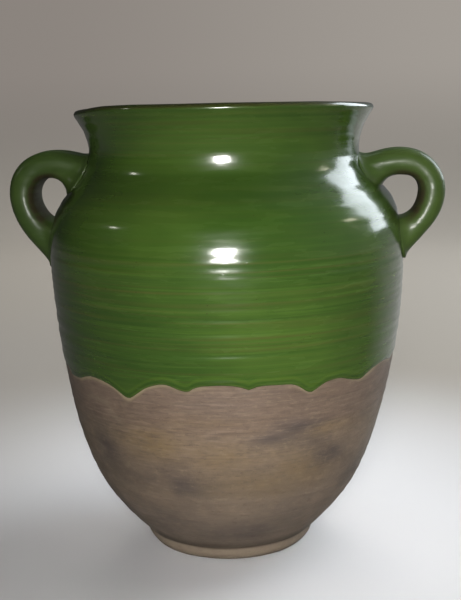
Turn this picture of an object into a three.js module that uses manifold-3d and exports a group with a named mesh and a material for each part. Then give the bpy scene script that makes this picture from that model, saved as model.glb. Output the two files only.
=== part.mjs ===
// Two-eared stoneware crock with a flared mouth, and the pair of half-moon stones that weigh down what ferments in it.
// Millimetres, +Z up. The origin is the centre of the foot, on the surface that the crock stands on.
// X runs through the two ears, Y from front to back.
import * as THREE from 'three';
import { mergeVertices } from 'three/addons/utils/BufferGeometryUtils.js';
import Module from 'manifold-3d';

const wasm = await Module();
wasm.setup();

// ---------------------------------------------------------------- driving dimensions
const HEIGHT = 300;            // foot to the top of the lip
const WALL = 6.4;              // thrown wall, measured square to the surface
const FLOOR = 10.5;            // inside floor above the standing surface
const FOOT_R = 51.4;           // outer radius of the standing ring
const FOOT_RECESS_R = 38.0;    // turned recess under the foot
const FOOT_RECESS = 3.0;       // its depth
const LIP_R = 99.8;            // widest radius of the lip
const AROUND = 64;             // segments around the pot
const GAP = 0.3;               // joint line between an ear and the wall

// Outer profile from the foot to the lip: radius, height.
const OUTER = [
  [FOOT_R, 0.0], [54.6, 1.0], [57.4, 4.4], [58.9, 10.2],
  [61.8, 13.0], [66.5, 17.8], [73.8, 26.0], [81.4, 35.8],
  [88.4, 46.6], [94.4, 59.2], [99.8, 74.0], [104.4, 90.0], [108.4, 107.4],
  [111.8, 126.0], [114.7, 145.4], [116.9, 165.4], [118.2, 184.6],
  [118.6, 201.0], [117.8, 214.4], [115.5, 225.6], [111.0, 235.6],
  [104.8, 243.4], [98.2, 249.6], [93.2, 256.4], [90.6, 264.0], [90.2, 271.4],
  [91.6, 279.2], [94.7, 287.6], [98.0, 293.6], [LIP_R, 297.2],
  [98.5, 299.4], [96.2, HEIGHT],
];
// Inner edge of the lip, before the profile turns down inside.
const LIP_IN = [[94.0, 299.3], [92.5, 297.2]];
const LIP_ROWS = 3;            // outer rows that belong to the rolled edge and have no wall behind them

// Ears: a pulled strap, wider than it is thick. Centre line in the XZ plane: distance from the pot's axis, height.
// The two were pulled by hand, so the right one sits a little lower and comes back to the wall a little sooner.
const EAR_PATH = {
  left: [
    [84.0, 251.4], [92.0, 255.0], [100.0, 258.8], [108.5, 261.2], [117.5, 261.8],
    [126.7, 259.9], [133.8, 254.2], [137.5, 245.8], [137.6, 236.5], [134.5, 227.3],
    [129.1, 219.1], [122.6, 211.6], [116.4, 204.4], [110.6, 197.6],
  ],
  right: [
    [84.0, 250.8], [92.0, 254.4], [100.0, 258.0], [108.5, 260.2], [117.7, 260.8],
    [127.2, 259.0], [134.4, 253.2], [137.9, 245.0], [137.4, 235.8], [133.8, 226.8],
    [127.6, 219.0], [121.0, 212.0], [114.4, 205.6], [108.4, 199.8],
  ],
};
const EAR_THICK = { left: 18.0, right: 16.8 };   // in the plane of the ear
const EAR_WIDE = 33.0;         // across the strap
const EAR_CORNER = 5.5;        // rounding of the strap's edges
const EAR_DOME = 0.5;          // how far its faces stand out in the middle
const EAR_STEPS = 30;

// Half-moon stones.
const STONE_R = 78.0;          // rounded side; a pair is a disc that passes the neck
const STONE_THICK = 15.0;
const STONE_EDGE = 2.5;        // rounded edge
const STONE_SPLIT = 3.0;       // space between the two straight sides
const STONE_GRIP_R = 14.0;     // half-round finger notch in each straight side
const STONE_CLEAR = 0.35;      // space left to the wall that carries them

// ---------------------------------------------------------------- helpers
// A closed, merged copy of a geometry as a solid.
function toSolid(geometry) {
  const g = (geometry.index ? geometry.toNonIndexed() : geometry.clone());
  g.deleteAttribute('normal');
  g.deleteAttribute('uv');
  const merged = mergeVertices(g, 1e-3);
  const index = merged.index.array;
  const keep = [];
  for (let i = 0; i < index.length; i += 3) {
    const [a, b, c] = [index[i], index[i + 1], index[i + 2]];
    if (a !== b && b !== c && c !== a) keep.push(a, b, c);
  }
  const make = (tris) => new wasm.Manifold(new wasm.Mesh({
    numProp: 3, vertProperties: merged.attributes.position.array, triVerts: new Uint32Array(tris),
  }));
  const solid = make(keep);
  if (solid.volume() > 0) return solid;
  for (let i = 0; i < keep.length; i += 3) [keep[i + 1], keep[i + 2]] = [keep[i + 2], keep[i + 1]];
  return make(keep);
}

// A solid back as a geometry.
function toGeometry(solid) {
  const mesh = solid.getMesh();
  const g = new THREE.BufferGeometry();
  g.setAttribute('position', new THREE.BufferAttribute(new Float32Array(mesh.vertProperties), 3));
  g.setIndex(new THREE.BufferAttribute(new Uint32Array(mesh.triVerts), 1));
  const flat = g.toNonIndexed();
  flat.computeVertexNormals();
  return flat;
}

// A profile of [radius, height] pairs turned about +Z.
function turned(profile, segments) {
  const g = new THREE.LatheGeometry(profile.map(([r, z]) => new THREE.Vector2(r, z)), segments);
  g.rotateX(Math.PI / 2);
  return g;
}

// Unit normal of a profile at one of its points, on the side away from the pot's axis while the profile climbs.
function outward(profile, i) {
  const a = profile[Math.max(i - 1, 0)];
  const b = profile[Math.min(i + 1, profile.length - 1)];
  const dr = b[0] - a[0], dz = b[1] - a[1], l = Math.hypot(dr, dz);
  return [dz / l, -dr / l];
}

function lerpRadius(profile, z) {
  for (let i = 1; i < profile.length; i++) {
    const [r0, z0] = profile[i - 1], [r1, z1] = profile[i];
    if ((z0 - z) * (z1 - z) <= 0 && z0 !== z1) return r0 + (r1 - r0) * (z - z0) / (z1 - z0);
  }
  return 0;
}

// ---------------------------------------------------------------- the pot
// Inner profile: the outer one set in by the wall, from the lip down to the floor.
const INNER = [];
for (let i = OUTER.length - LIP_ROWS - 1; i >= 4; i--) {
  if (OUTER[i][1] < 220 && i % 2) continue;        // the inside is smoother than the outside
  const [nr, nz] = outward(OUTER, i);
  const p = [OUTER[i][0] - nr * WALL, OUTER[i][1] - nz * WALL];
  if (p[1] > FLOOR + 6 && p[0] > 46) INNER.push(p);
}
const CORNER = [[INNER[INNER.length - 1][0] - 7.5, FLOOR + 3.4], [INNER[INNER.length - 1][0] - 16, FLOOR + 0.7], [INNER[INNER.length - 1][0] - 28, FLOOR]];

const bodyProfile = [
  [0, FOOT_RECESS], [FOOT_RECESS_R - 3.5, FOOT_RECESS], [FOOT_RECESS_R - 0.8, 1.9], [FOOT_RECESS_R + 1.4, 0],
  ...OUTER, ...LIP_IN, ...INNER, ...CORNER, [0, FLOOR],
];
const body = toSolid(turned(bodyProfile, AROUND));

// The pot's outside, filled and grown by the joint line: what an ear is cut back to.
const grown = OUTER.map((p, i) => {
  const [nr, nz] = outward(OUTER, i);
  return [p[0] + nr * GAP, p[1] + nz * GAP];
});
const cutter = toSolid(turned([[0, grown[0][1]], ...grown, [0, grown[grown.length - 1][1]]], AROUND));

// ---------------------------------------------------------------- the ears
// Outline of the strap: a rounded oblong with slightly domed faces, [across, thick].
function earSection(thick) {
  const x = EAR_WIDE / 2 - EAR_CORNER, y = thick / 2 - EAR_DOME - EAR_CORNER;
  const points = [];
  for (const [cx, cy, from] of [[x, y, 0], [-x, y, 90], [-x, -y, 180], [x, -y, 270]]) {
    for (const deg of [0, 30, 60, 90]) {
      const t = THREE.MathUtils.degToRad(from + deg);
      points.push([cx + EAR_CORNER * Math.cos(t), cy + EAR_CORNER * Math.sin(t)]);
    }
    if (from === 0) points.push([0, thick / 2]);
    if (from === 180) points.push([0, -thick / 2]);
  }
  return points;
}

function ear(name) {
  const side = name === 'left' ? -1 : 1;
  const path = new THREE.CatmullRomCurve3(EAR_PATH[name].map(([r, z]) => new THREE.Vector3(side * r, 0, z)), false, 'centripetal');
  const outline = earSection(EAR_THICK[name]);
  const sweep = (points) => {
    const g = new THREE.ExtrudeGeometry(new THREE.Shape(points.map(([x, y]) => new THREE.Vector2(x, y))),
      { steps: EAR_STEPS, bevelEnabled: false, extrudePath: path });
    g.computeBoundingBox();
    return g;
  };
  // extrudePath decides which way the section lies; the strap's width runs along Y.
  let g = sweep(outline);
  if (g.boundingBox.max.y - g.boundingBox.min.y < EAR_WIDE - 1) g = sweep(outline.map(([x, y]) => [y, x]));
  const cut = toSolid(g).subtract(cutter);
  return cut.decompose().sort((a, b) => b.volume() - a.volume())[0];
}

// ---------------------------------------------------------------- the stones
// Height at which a stone's lower rounded edge comes within STONE_CLEAR of the tapering wall.
function stoneSeat() {
  const inner = INNER.slice().reverse();
  const edge = [0, 30, 60, 90].map((deg) => {
    const t = THREE.MathUtils.degToRad(deg);
    return [STONE_R - STONE_EDGE + STONE_EDGE * Math.sin(t), STONE_EDGE - STONE_EDGE * Math.cos(t)];
  });
  // The turned wall is a polygon, so its flats stand a little inside the true circle.
  const flats = (1 - Math.cos(Math.PI / AROUND)) * STONE_R;
  for (let z = inner[0][1]; z < 150; z += 0.05) {
    let clear = Infinity;
    for (const [r, dz] of edge) {
      if (r >= lerpRadius(inner, z + dz)) clear = -1;
      for (let i = 1; i < inner.length; i++) {
        const [r0, z0] = inner[i - 1], [r1, z1] = inner[i];
        const lr = r1 - r0, lz = z1 - z0;
        const t = THREE.MathUtils.clamp(((r - r0) * lr + (z + dz - z0) * lz) / (lr * lr + lz * lz), 0, 1);
        clear = Math.min(clear, Math.hypot(r0 + t * lr - r, z0 + t * lz - z - dz));
      }
    }
    if (clear >= STONE_CLEAR + flats) return z;
  }
  throw new Error('the stones find no seat');
}
const SEAT = stoneSeat();

function stone(side) {
  const half = new THREE.Shape();
  const r = STONE_R - STONE_EDGE;
  const y0 = STONE_SPLIT / 2 + STONE_EDGE;
  const grip = STONE_GRIP_R + STONE_EDGE;
  const reach = Math.sqrt(r * r - y0 * y0) ;
  const soft = 9;                                    // worn corner where the straight side meets the round one
  const a0 = Math.asin((y0 + soft) / r);
  half.moveTo(grip, y0);
  half.lineTo(reach - soft, y0);
  half.quadraticCurveTo(reach - 0.5, y0, r * Math.cos(a0), r * Math.sin(a0));
  half.absarc(0, 0, r, a0, Math.PI - a0, false);
  half.quadraticCurveTo(-(reach - 0.5), y0, -(reach - soft), y0);
  half.lineTo(-grip, y0);
  half.absarc(0, y0, grip, Math.PI, 0, true);
  const g = new THREE.ExtrudeGeometry(half, {
    depth: STONE_THICK - 2 * STONE_EDGE, curveSegments: 16,
    bevelEnabled: true, bevelThickness: STONE_EDGE, bevelSize: STONE_EDGE, bevelSegments: 2,
  });
  g.translate(0, 0, STONE_EDGE);
  if (side < 0) g.rotateZ(Math.PI);
  return g;
}

// ---------------------------------------------------------------- scene graph
const glazed = new THREE.MeshStandardMaterial({ color: 0x3f5a1e, roughness: 0.16, metalness: 0 });
const earGlaze = new THREE.MeshStandardMaterial({ color: 0x35501c, roughness: 0.18, metalness: 0 });
const stoneware = new THREE.MeshStandardMaterial({ color: 0xa89478, roughness: 0.75, metalness: 0 });

function node(name, geometry, material) {
  const m = new THREE.Mesh(geometry, material);
  m.name = name;
  return m;
}

const crock = new THREE.Group();
crock.add(node('crock_body', toGeometry(body), glazed));
crock.add(node('handle_left', toGeometry(ear('left')), earGlaze));
crock.add(node('handle_right', toGeometry(ear('right')), earGlaze.clone()));

const stones = new THREE.Group();
stones.position.z = SEAT;
stones.add(node('weight_front', stone(-1), stoneware));
stones.add(node('weight_back', stone(1), stoneware.clone()));

const fermenter = new THREE.Group();
fermenter.add(crock, stones);

export default fermenter;
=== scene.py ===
"""Looks for the two-eared fermenting crock. Metres in Blender; the shape functions below work in millimetres and are scaled at the end."""
import math

import bpy
import bmesh
import numpy as np
from mathutils import Matrix, Vector


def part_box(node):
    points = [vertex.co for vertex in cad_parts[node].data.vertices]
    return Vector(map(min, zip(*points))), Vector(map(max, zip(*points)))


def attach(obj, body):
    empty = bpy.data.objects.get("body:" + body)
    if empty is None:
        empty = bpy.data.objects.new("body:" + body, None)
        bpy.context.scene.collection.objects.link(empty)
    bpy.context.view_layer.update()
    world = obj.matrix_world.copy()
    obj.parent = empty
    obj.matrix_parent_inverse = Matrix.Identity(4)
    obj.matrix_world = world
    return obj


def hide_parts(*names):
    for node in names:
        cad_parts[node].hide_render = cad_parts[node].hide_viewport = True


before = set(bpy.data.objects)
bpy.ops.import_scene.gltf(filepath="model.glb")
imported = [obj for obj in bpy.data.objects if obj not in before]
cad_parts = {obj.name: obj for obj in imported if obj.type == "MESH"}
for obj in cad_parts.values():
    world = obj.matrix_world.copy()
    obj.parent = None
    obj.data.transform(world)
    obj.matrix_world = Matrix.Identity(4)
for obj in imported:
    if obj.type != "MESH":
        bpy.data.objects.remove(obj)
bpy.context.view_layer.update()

MM = 0.001

# ------------------------------------------------------------------ the pot's shape, as in the CAD
WALL, FLOOR, HEIGHT = 6.4, 10.5, 300.0
OUTER = np.array([
    [51.4, 0.0], [54.6, 1.0], [57.4, 4.4], [58.9, 10.2],
    [61.8, 13.0], [66.5, 17.8], [73.8, 26.0], [81.4, 35.8],
    [88.4, 46.6], [94.4, 59.2], [99.8, 74.0], [104.4, 90.0], [108.4, 107.4],
    [111.8, 126.0], [114.7, 145.4], [116.9, 165.4], [118.2, 184.6],
    [118.6, 201.0], [117.8, 214.4], [115.5, 225.6], [111.0, 235.6],
    [104.8, 243.4], [98.2, 249.6], [93.2, 256.4], [90.6, 264.0], [90.2, 271.4],
    [91.6, 279.2], [94.7, 287.6], [98.0, 293.6], [99.8, 297.2],
    [98.5, 299.4], [96.2, 300.0],
])
LIP_IN = np.array([[94.0, 299.3], [92.5, 297.2]])
EAR_PATH = {
    "left": [
        [84.0, 251.4], [92.0, 255.0], [100.0, 258.8], [108.5, 261.2], [117.5, 261.8],
        [126.7, 259.9], [133.8, 254.2], [137.5, 245.8], [137.6, 236.5], [134.5, 227.3],
        [129.1, 219.1], [122.6, 211.6], [116.4, 204.4], [110.6, 197.6]],
    "right": [
        [84.0, 250.8], [92.0, 254.4], [100.0, 258.0], [108.5, 260.2], [117.7, 260.8],
        [127.2, 259.0], [134.4, 253.2], [137.9, 245.0], [137.4, 235.8], [133.8, 226.8],
        [127.6, 219.0], [121.0, 212.0], [114.4, 205.6], [108.4, 199.8]],
}
EAR_THICK = {"left": 18.6, "right": 17.4}
EAR_WIDE, EAR_CORNER, EAR_DOME = 33.0, 7.6, 0.5
VIEW_AZ = 6.5                      # the camera stands this far round from the plain side


def catmull(points, per):
    """Centripetal Catmull-Rom through points; per samples in each span."""
    p = np.asarray(points, float)
    a = 2 * p[0] - p[1]
    b = 2 * p[-1] - p[-2]
    q = np.vstack([a, p, b])
    out = []
    for i in range(1, len(q) - 2):
        p0, p1, p2, p3 = q[i - 1], q[i], q[i + 1], q[i + 2]
        t0 = 0.0
        t1 = t0 + max(np.linalg.norm(p1 - p0), 1e-6) ** 0.5
        t2 = t1 + max(np.linalg.norm(p2 - p1), 1e-6) ** 0.5
        t3 = t2 + max(np.linalg.norm(p3 - p2), 1e-6) ** 0.5
        t = np.linspace(t1, t2, per, endpoint=False)[:, None]
        a1 = (t1 - t) / (t1 - t0) * p0 + (t - t0) / (t1 - t0) * p1
        a2 = (t2 - t) / (t2 - t1) * p1 + (t - t1) / (t2 - t1) * p2
        a3 = (t3 - t) / (t3 - t2) * p2 + (t - t2) / (t3 - t2) * p3
        b1 = (t2 - t) / (t2 - t0) * a1 + (t - t0) / (t2 - t0) * a2
        b2 = (t3 - t) / (t3 - t1) * a2 + (t - t1) / (t3 - t1) * a3
        out.append((t2 - t) / (t2 - t1) * b1 + (t - t1) / (t2 - t1) * b2)
    out.append(p[-1:])
    return np.vstack(out)


def resample(curve, step):
    """Points along a curve, spaced by step, which may be a function of (r, z)."""
    d = np.hypot(*np.diff(curve, axis=0).T)
    mid = (curve[1:] + curve[:-1]) / 2
    h = np.array([step(r, z) for r, z in mid]) if callable(step) else np.full(len(mid), step)
    n = np.concatenate([[0], np.cumsum(d / h)])
    k = max(2, int(round(n[-1])) + 1)
    t = np.linspace(0, n[-1], k)
    return np.stack([np.interp(t, n, curve[:, 0]), np.interp(t, n, curve[:, 1])], 1)


def smooth(x, a, b):
    t = np.clip((x - a) / (b - a), 0, 1)
    return t * t * (3 - 2 * t)


def noise_line(rng, low, high, length=320.0, step=0.25):
    """Band-limited noise along a line, unit spread, wavelengths about from low to high."""
    n = int(length / step)
    f = np.fft.rfftfreq(n, step)
    s = np.fft.rfft(rng.standard_normal(n))
    with np.errstate(divide="ignore"):
        wl = 1 / np.maximum(f, 1e-9)
    band = smooth(wl, low * 0.75, low) * (1 - smooth(wl, high, high * 1.35))
    out = np.fft.irfft(s * band, n)
    return out / out.std()


class RingField:
    """Horizontal ridges of a thrown wall that fade and swell slowly on their way round."""

    def __init__(self, seed, low, high, weights):
        rng = np.random.default_rng(seed)
        self.w = weights
        self.z = np.arange(0, 320.0, 0.25)
        self.a = [noise_line(rng, low, high) for _ in weights]
        self.b = [noise_line(rng, low, high) for _ in weights]

    def __call__(self, z, th):
        out = np.zeros_like(z)
        for m, w in enumerate(self.w):
            out += w * np.interp(z, self.z, self.a[m][: len(self.z)]) * np.cos(m * th)
            if m:
                out += w * np.interp(z, self.z, self.b[m][: len(self.z)]) * np.sin(m * th)
        return out / math.sqrt(sum(w * w for w in self.w))


class Patches:
    """Slow noise over the wall, from a sum of waves round and up."""

    def __init__(self, seed, tall, waves, count=26):
        rng = np.random.default_rng(seed)
        self.m = rng.integers(0, waves + 1, count)
        self.k = rng.uniform(-1, 1, count) * 2 * math.pi / tall
        self.p = rng.uniform(0, 2 * math.pi, count)
        self.count = count

    def __call__(self, z, th):
        out = np.zeros_like(z)
        for m, k, p in zip(self.m, self.k, self.p):
            out += np.cos(m * th + k * z + p)
        return out / math.sqrt(self.count / 2)


FACE = math.radians(-90 + VIEW_AZ)            # direction of the camera, seen from above
RIGHT = np.array([-math.sin(FACE), math.cos(FACE)])   # to the right, seen from the camera

# The pot leans and bows a little, as a thrown pot does: sideways offset of its axis with height.
BOW_Z = np.array([0, 60, 90, 110, 130, 165, 190, 215, 235, 252, 270, 300.0])
BOW_X = np.array([-0.3, -0.4, -0.2, 0.3, 0.8, 1.1, 0.8, 0.35, 0.5, 0.2, -0.45, -0.5])


def axis_at(z):
    o = np.interp(z, BOW_Z, BOW_X)
    return o * RIGHT[0], o * RIGHT[1]


RING_COARSE = RingField(11, 4.0, 6.2, [1.0, 0.55, 0.4, 0.3])
RING_BROAD = RingField(12, 8.0, 16.0, [1.0, 0.4, 0.3])
RING_FINE = RingField(13, 2.8, 4.0, [1.0, 0.6, 0.5, 0.4])
OVAL = Patches(14, 320.0, 3, 14)

OUT_CURVE = catmull(OUTER, 24)
R_SAMPLES = OUT_CURVE[(OUT_CURVE[:, 1] > 0.5) & (OUT_CURVE[:, 1] < 297.1)]


def wall_r(z):
    return np.interp(z, R_SAMPLES[:, 1], R_SAMPLES[:, 0])


def ring_height(z, th):
    """Throwing ridges in millimetres, without the glaze."""
    strong = smooth(z, 128, 146) * (1 - smooth(z, 190, 218))
    neck = smooth(z, 256, 268) * (1 - smooth(z, 292, 298))
    low = smooth(z, 14, 30) * (1 - smooth(z, 118, 134))
    amp = 0.012 + 0.056 * strong + 0.020 * neck + 0.03 * low
    broad = 0.05 + 0.04 * strong + 0.03 * neck + 0.06 * low
    fine = 0.006 + 0.024 * strong + 0.010 * neck + 0.012 * low
    return amp * RING_COARSE(z, th) + broad * RING_BROAD(z, th) + fine * RING_FINE(z, th)


# ------------------------------------------------------------------ lower edge of the glaze
# Angle from the camera's side in degrees, and height. The scallops that face away carry on in the same manner.
EDGE_FRONT = np.array([
    (-65.1, 128.6), (-60.8, 128.9), (-57.4, 129.8), (-54.0, 132.1), (-51.1, 133.5), (-48.8, 133.8), (-46.7, 133.6),
    (-44.7, 133.2), (-42.8, 132.6), (-41.0, 131.8), (-39.3, 130.6), (-37.8, 129.1), (-36.2, 127.4), (-34.8, 125.6),
    (-33.2, 124.9), (-31.5, 126.8), (-29.8, 129.1), (-28.2, 131.3), (-26.6, 133.3), (-25.1, 134.6), (-23.7, 135.6),
    (-22.3, 136.3), (-20.9, 136.8), (-19.6, 136.8), (-18.4, 136.2), (-17.1, 135.2), (-15.9, 134.2), (-14.7, 133.5),
    (-13.4, 133.0), (-12.6, 132.9), (-12.0, 133.8), (-10.9, 135.3), (-9.6, 136.3), (-8.4, 136.8), (-6.0, 137.2),
    (-3.6, 137.5), (-1.2, 137.4), (1.1, 137.0), (3.5, 135.9), (4.7, 135.0), (5.7, 134.1), (6.5, 134.5), (7.3, 135.5),
    (8.5, 136.1), (10.7, 136.4), (13.2, 136.3), (15.7, 136.1), (18.2, 135.9), (19.6, 135.4), (20.9, 134.4), (22.3, 132.7),
    (23.7, 130.7), (25.0, 129.3), (25.9, 129.0), (26.8, 129.7), (28.0, 131.0), (29.4, 132.5), (30.8, 133.7), (32.3, 134.3),
    (33.8, 134.6), (35.4, 134.8), (37.1, 134.4), (39.0, 133.4), (40.8, 132.3), (42.8, 131.3), (44.9, 130.4), (46.2, 130.2),
    (47.6, 130.9), (49.0, 132.1), (51.2, 133.5), (53.6, 134.9), (56.4, 135.7), (59.7, 136.2), (63.4, 136.0), (68.5, 133.6)])
CUSPS = [(68.5, 133.6), (88.0, 127.4), (110.5, 130.6), (130.0, 126.8), (152.5, 131.4), (171.5, 128.0),
         (193.0, 132.6), (214.5, 129.2), (233.0, 126.2), (254.0, 130.8), (274.0, 127.2), (294.9, 128.6)]
HUMPS = [5.6, 4.2, 5.8, 4.6, 5.2, 4.0, 5.4, 4.4, 5.6, 4.8, 5.0]
SKEW = [0.50, 0.45, 0.55, 0.42, 0.46, 0.58, 0.50, 0.40, 0.55, 0.5, 0.46]
EDGE0 = 131.0

# The lip was never cut level: its height round the mouth, by angle from the camera's side.
LIP_RISE = np.array([(-180, 0.8), (-150, 0.3), (-120, -1.2), (-100, -2.3), (-90, -2.4), (-76, -2.2), (-62, -1.6), (-49, -0.2),
                     (-33.6, 0.6), (-16.7, 0.95), (0.8, 1.35), (18.3, 1.3), (35.5, 1.2), (51.3, 0.5), (66, -0.3), (78, -0.9),
                     (92, -1.2), (112, -1.0), (140, 0.2), (162, 0.8), (180, 0.8)])


def edge_height(th):
    """Height of the glaze's lower edge at each angle round the pot."""
    deg = np.degrees(th - FACE)
    deg = (deg - CUSPS[0][0]) % 360 + CUSPS[0][0]
    a = np.array([c[0] for c in CUSPS])
    h = np.array([c[1] for c in CUSPS])
    i = np.clip(np.searchsorted(a, deg, side="right") - 1, 0, len(CUSPS) - 2)
    t = np.clip((deg - a[i]) / (a[i + 1] - a[i]), 0, 1)
    skew = np.array(SKEW)[i]
    t = np.where(t < skew, 0.5 * t / skew, 0.5 + 0.5 * (t - skew) / (1 - skew))
    hump = np.array(HUMPS)[i] * np.sin(math.pi * t) ** 0.66
    rough = 0.22 * np.sin(deg * 0.91 + 1.3) + 0.16 * np.sin(deg * 2.3) + 0.1 * np.sin(deg * 4.7 + 0.6)
    away = h[i] * (1 - t) + h[i + 1] * t + hump + rough * np.sin(math.pi * t)
    front = np.interp(deg, np.concatenate([[68.5, 200.0], EDGE_FRONT[:, 0] + 360]), np.concatenate([[133.6, 133.6], EDGE_FRONT[:, 1]]))
    return np.where(deg > 294.9, front - 0.25, away - 0.25)


def glaze_step(d):
    """Thickness of the glaze at a distance above its edge."""
    face = np.sqrt(np.clip(1 - (1 - np.clip(d / 0.7, 0, 1)) ** 2, 0, 1))
    bead = 0.13 * np.exp(-((d - 1.9) / 1.7) ** 2)
    return np.where(d > 0, (0.36 + bead) * face, 0.0)


# ------------------------------------------------------------------ meshes
def make_object(name, verts_mm, faces, smooth_shade=True):
    mesh = bpy.data.meshes.new(name)
    mesh.from_pydata((np.asarray(verts_mm) * MM).tolist(), [], faces)
    mesh.validate()
    mesh.update()
    if smooth_shade:
        mesh.polygons.foreach_set("use_smooth", np.ones(len(mesh.polygons), bool))
    ob = bpy.data.objects.new(name, mesh)
    bpy.context.scene.collection.objects.link(ob)
    return ob


def set_attribute(ob, name, values):
    att = ob.data.attributes.new(name, "FLOAT", "POINT")
    att.data.foreach_set("value", np.asarray(values, np.float32))


def outside_normals(curve):
    d = np.gradient(curve, axis=0)
    n = np.stack([d[:, 1], -d[:, 0]], 1)
    return n / np.maximum(np.linalg.norm(n, axis=1), 1e-9)[:, None]


COLS = 300


def build_body():
    # Underside: turned recess, then the standing ring.
    under = catmull([[0.0, 3.0], [12.0, 2.9], [24.0, 2.95], [33.0, 3.0], [36.4, 2.4], [38.2, 1.0], [39.6, 0.15], [41.5, 0.0], [45.0, 0.0], [48.6, 0.0], [51.4, 0.0]], 8)
    under = resample(under[1:], lambda r, z: 3.6 if r < 32 else 1.3)
    under = under[under[:, 0] > 2.0]
    # Outside wall up to the lip.
    def out_step(r, z):
        if z < 13: return 1.1
        if z < 112: return 2.3
        if z < 142: return 1.35
        if z < 212: return 1.1
        if z < 290: return 1.65
        return 0.85
    wall = resample(OUT_CURVE, out_step)[1:]
    # Rows that follow the edge of the glaze closely.
    near = np.array([-2.2, -1.1, -0.45, 0.0, 0.12, 0.3, 0.6, 1.05, 1.7, 2.6, 3.7])
    keep = (wall[:, 1] < EDGE0 - 3.2) | (wall[:, 1] > EDGE0 + 4.6)
    rows_near = np.stack([wall_r(EDGE0 + near), EDGE0 + near], 1)
    wall = np.vstack([wall[keep & (wall[:, 1] < EDGE0)], rows_near, wall[keep & (wall[:, 1] > EDGE0)]])
    # Inside: the lip's inner side, then the wall set in square to the outside one, then the floor.
    smooth_out = resample(OUT_CURVE, 1.0)
    n = outside_normals(smooth_out)
    inner = smooth_out - n * WALL
    ok = (smooth_out[:, 1] < 291.5) & (inner[:, 1] > 24) & (smooth_out[:, 1] > 20)
    inner = inner[ok][::-1]
    floor_from = inner[-1]
    inside = np.vstack([LIP_IN, inner[::14], floor_from[None],
                        [[floor_from[0] - 5.5, floor_from[1] - 5.6], [floor_from[0] - 13.0, FLOOR + 1.5], [floor_from[0] - 23.0, FLOOR + 0.3],
                         [floor_from[0] - 34.0, FLOOR], [10.0, FLOOR + 0.2], [0.0, FLOOR + 0.25]]])
    inside = catmull(np.vstack([OUT_CURVE[-1:], inside]), 24)
    inside = resample(inside, lambda r, z: 0.95 if z > 294 else (3.0 if z > 235 else 5.8))[1:]
    inside = inside[inside[:, 0] > 2.5]
    prof = np.vstack([under, wall, inside])
    kind = np.concatenate([np.zeros(len(under)), np.ones(len(wall)), np.full(len(inside), 2)])
    R, C = len(prof), COLS
    th = np.arange(C) * 2 * math.pi / C + 0.003
    T = np.broadcast_to(th, (R, C)).copy()
    r0 = np.broadcast_to(prof[:, :1], (R, C)).copy()
    z0 = np.broadcast_to(prof[:, 1:], (R, C)).copy()
    outside = np.broadcast_to((kind == 1)[:, None], (R, C))
    inside_m = np.broadcast_to((kind == 2)[:, None], (R, C))
    # Rows near the glaze's edge bend to follow its scallops.
    e = edge_height(T)
    w = np.where(z0 < EDGE0, smooth(z0, EDGE0 - 34, EDGE0), 1 - smooth(z0, EDGE0, EDGE0 + 40)) * outside
    z = z0 + w * (e - EDGE0)
    r = np.where(outside & (z0 > 14) & (z0 < 290), wall_r(z), r0)
    d_edge = np.where(w > 0.999, z0 - EDGE0, z - e)
    d_edge = np.where(np.abs(z0 - EDGE0) < 5, z0 - EDGE0, d_edge)
    ridge = ring_height(z, T)
    fade_lip = 1 - 0.85 * smooth(z, 294, 299)
    dr = np.where(outside, ridge * smooth(z, 1.0, 12.0) * fade_lip, 0)
    dr += np.where(outside & (z > 60), glaze_step(d_edge), 0) * (1 - smooth(z, 290, 300) * 0.4)
    # The clay below was scraped with a rib while it turned: shallow flats and a soft groove over the foot.
    scrape = Patches(31, 46.0, 7, 30)(z, T)
    dr += np.where(outside & (z < 128), 0.10 * scrape * smooth(z, 12, 30) * (1 - smooth(z, 112, 128)), 0)
    foot_wave = Patches(32, 60.0, 9, 24)(z, T)
    dr += np.where(outside & (z < 14), 0.22 * foot_wave * (1 - smooth(z, 9, 15)), 0)
    # Hand-thrown out of round, a little more at the mouth than at the foot.
    oval = 0.22 * OVAL(z * 0.5, T) * (0.4 + 0.6 * smooth(z, 40, 280))
    dr += oval * np.where(kind[:, None] == 0, 0.2, 1.0)
    # The shoulder was pushed out where the right ear was pressed on.
    side = np.degrees(T - FACE) % 360
    dr += np.where(outside, 2.0 * np.exp(-((z - 243) / 11.0) ** 2) * np.exp(-((side - 86) / 30.0) ** 2), 0)
    inner_ridge = 0.16 * RING_BROAD(z + 40, T + 1.0) + 0.10 * RING_COARSE(z, T + 2.0)
    dr += np.where(inside_m & (r0 > 40), inner_ridge * (1 - smooth(z, 285, 294)) * smooth(r0, 40, 60), 0)
    # Lip: rises and falls a little, and is touched in by the finger.
    lip_wave = 0.34 * np.sin(2 * T + 0.4) + 0.18 * np.sin(3 * T + 2.0) + 0.1 * np.sin(5 * T + 1.0)
    z = z + np.where(z0 > 270, lip_wave * smooth(z0, 270, 298) - 0.45 * smooth(z0, 285, 299), 0)
    turn = (np.degrees(T - FACE) + 180) % 360 - 180
    z = z + np.interp(turn, LIP_RISE[:, 0], LIP_RISE[:, 1]) * smooth(z0, 276, 298) * np.where(kind[:, None] == 0, 0, 1)
    # The mouth was knocked in a little on the left.
    dr -= (1.1 * smooth(z0, 256, 274) + 0.5 * smooth(z0, 286, 299)) * np.exp(-((turn + 92) / 42.0) ** 2) * np.where(kind[:, None] == 0, 0, 1)
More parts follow.
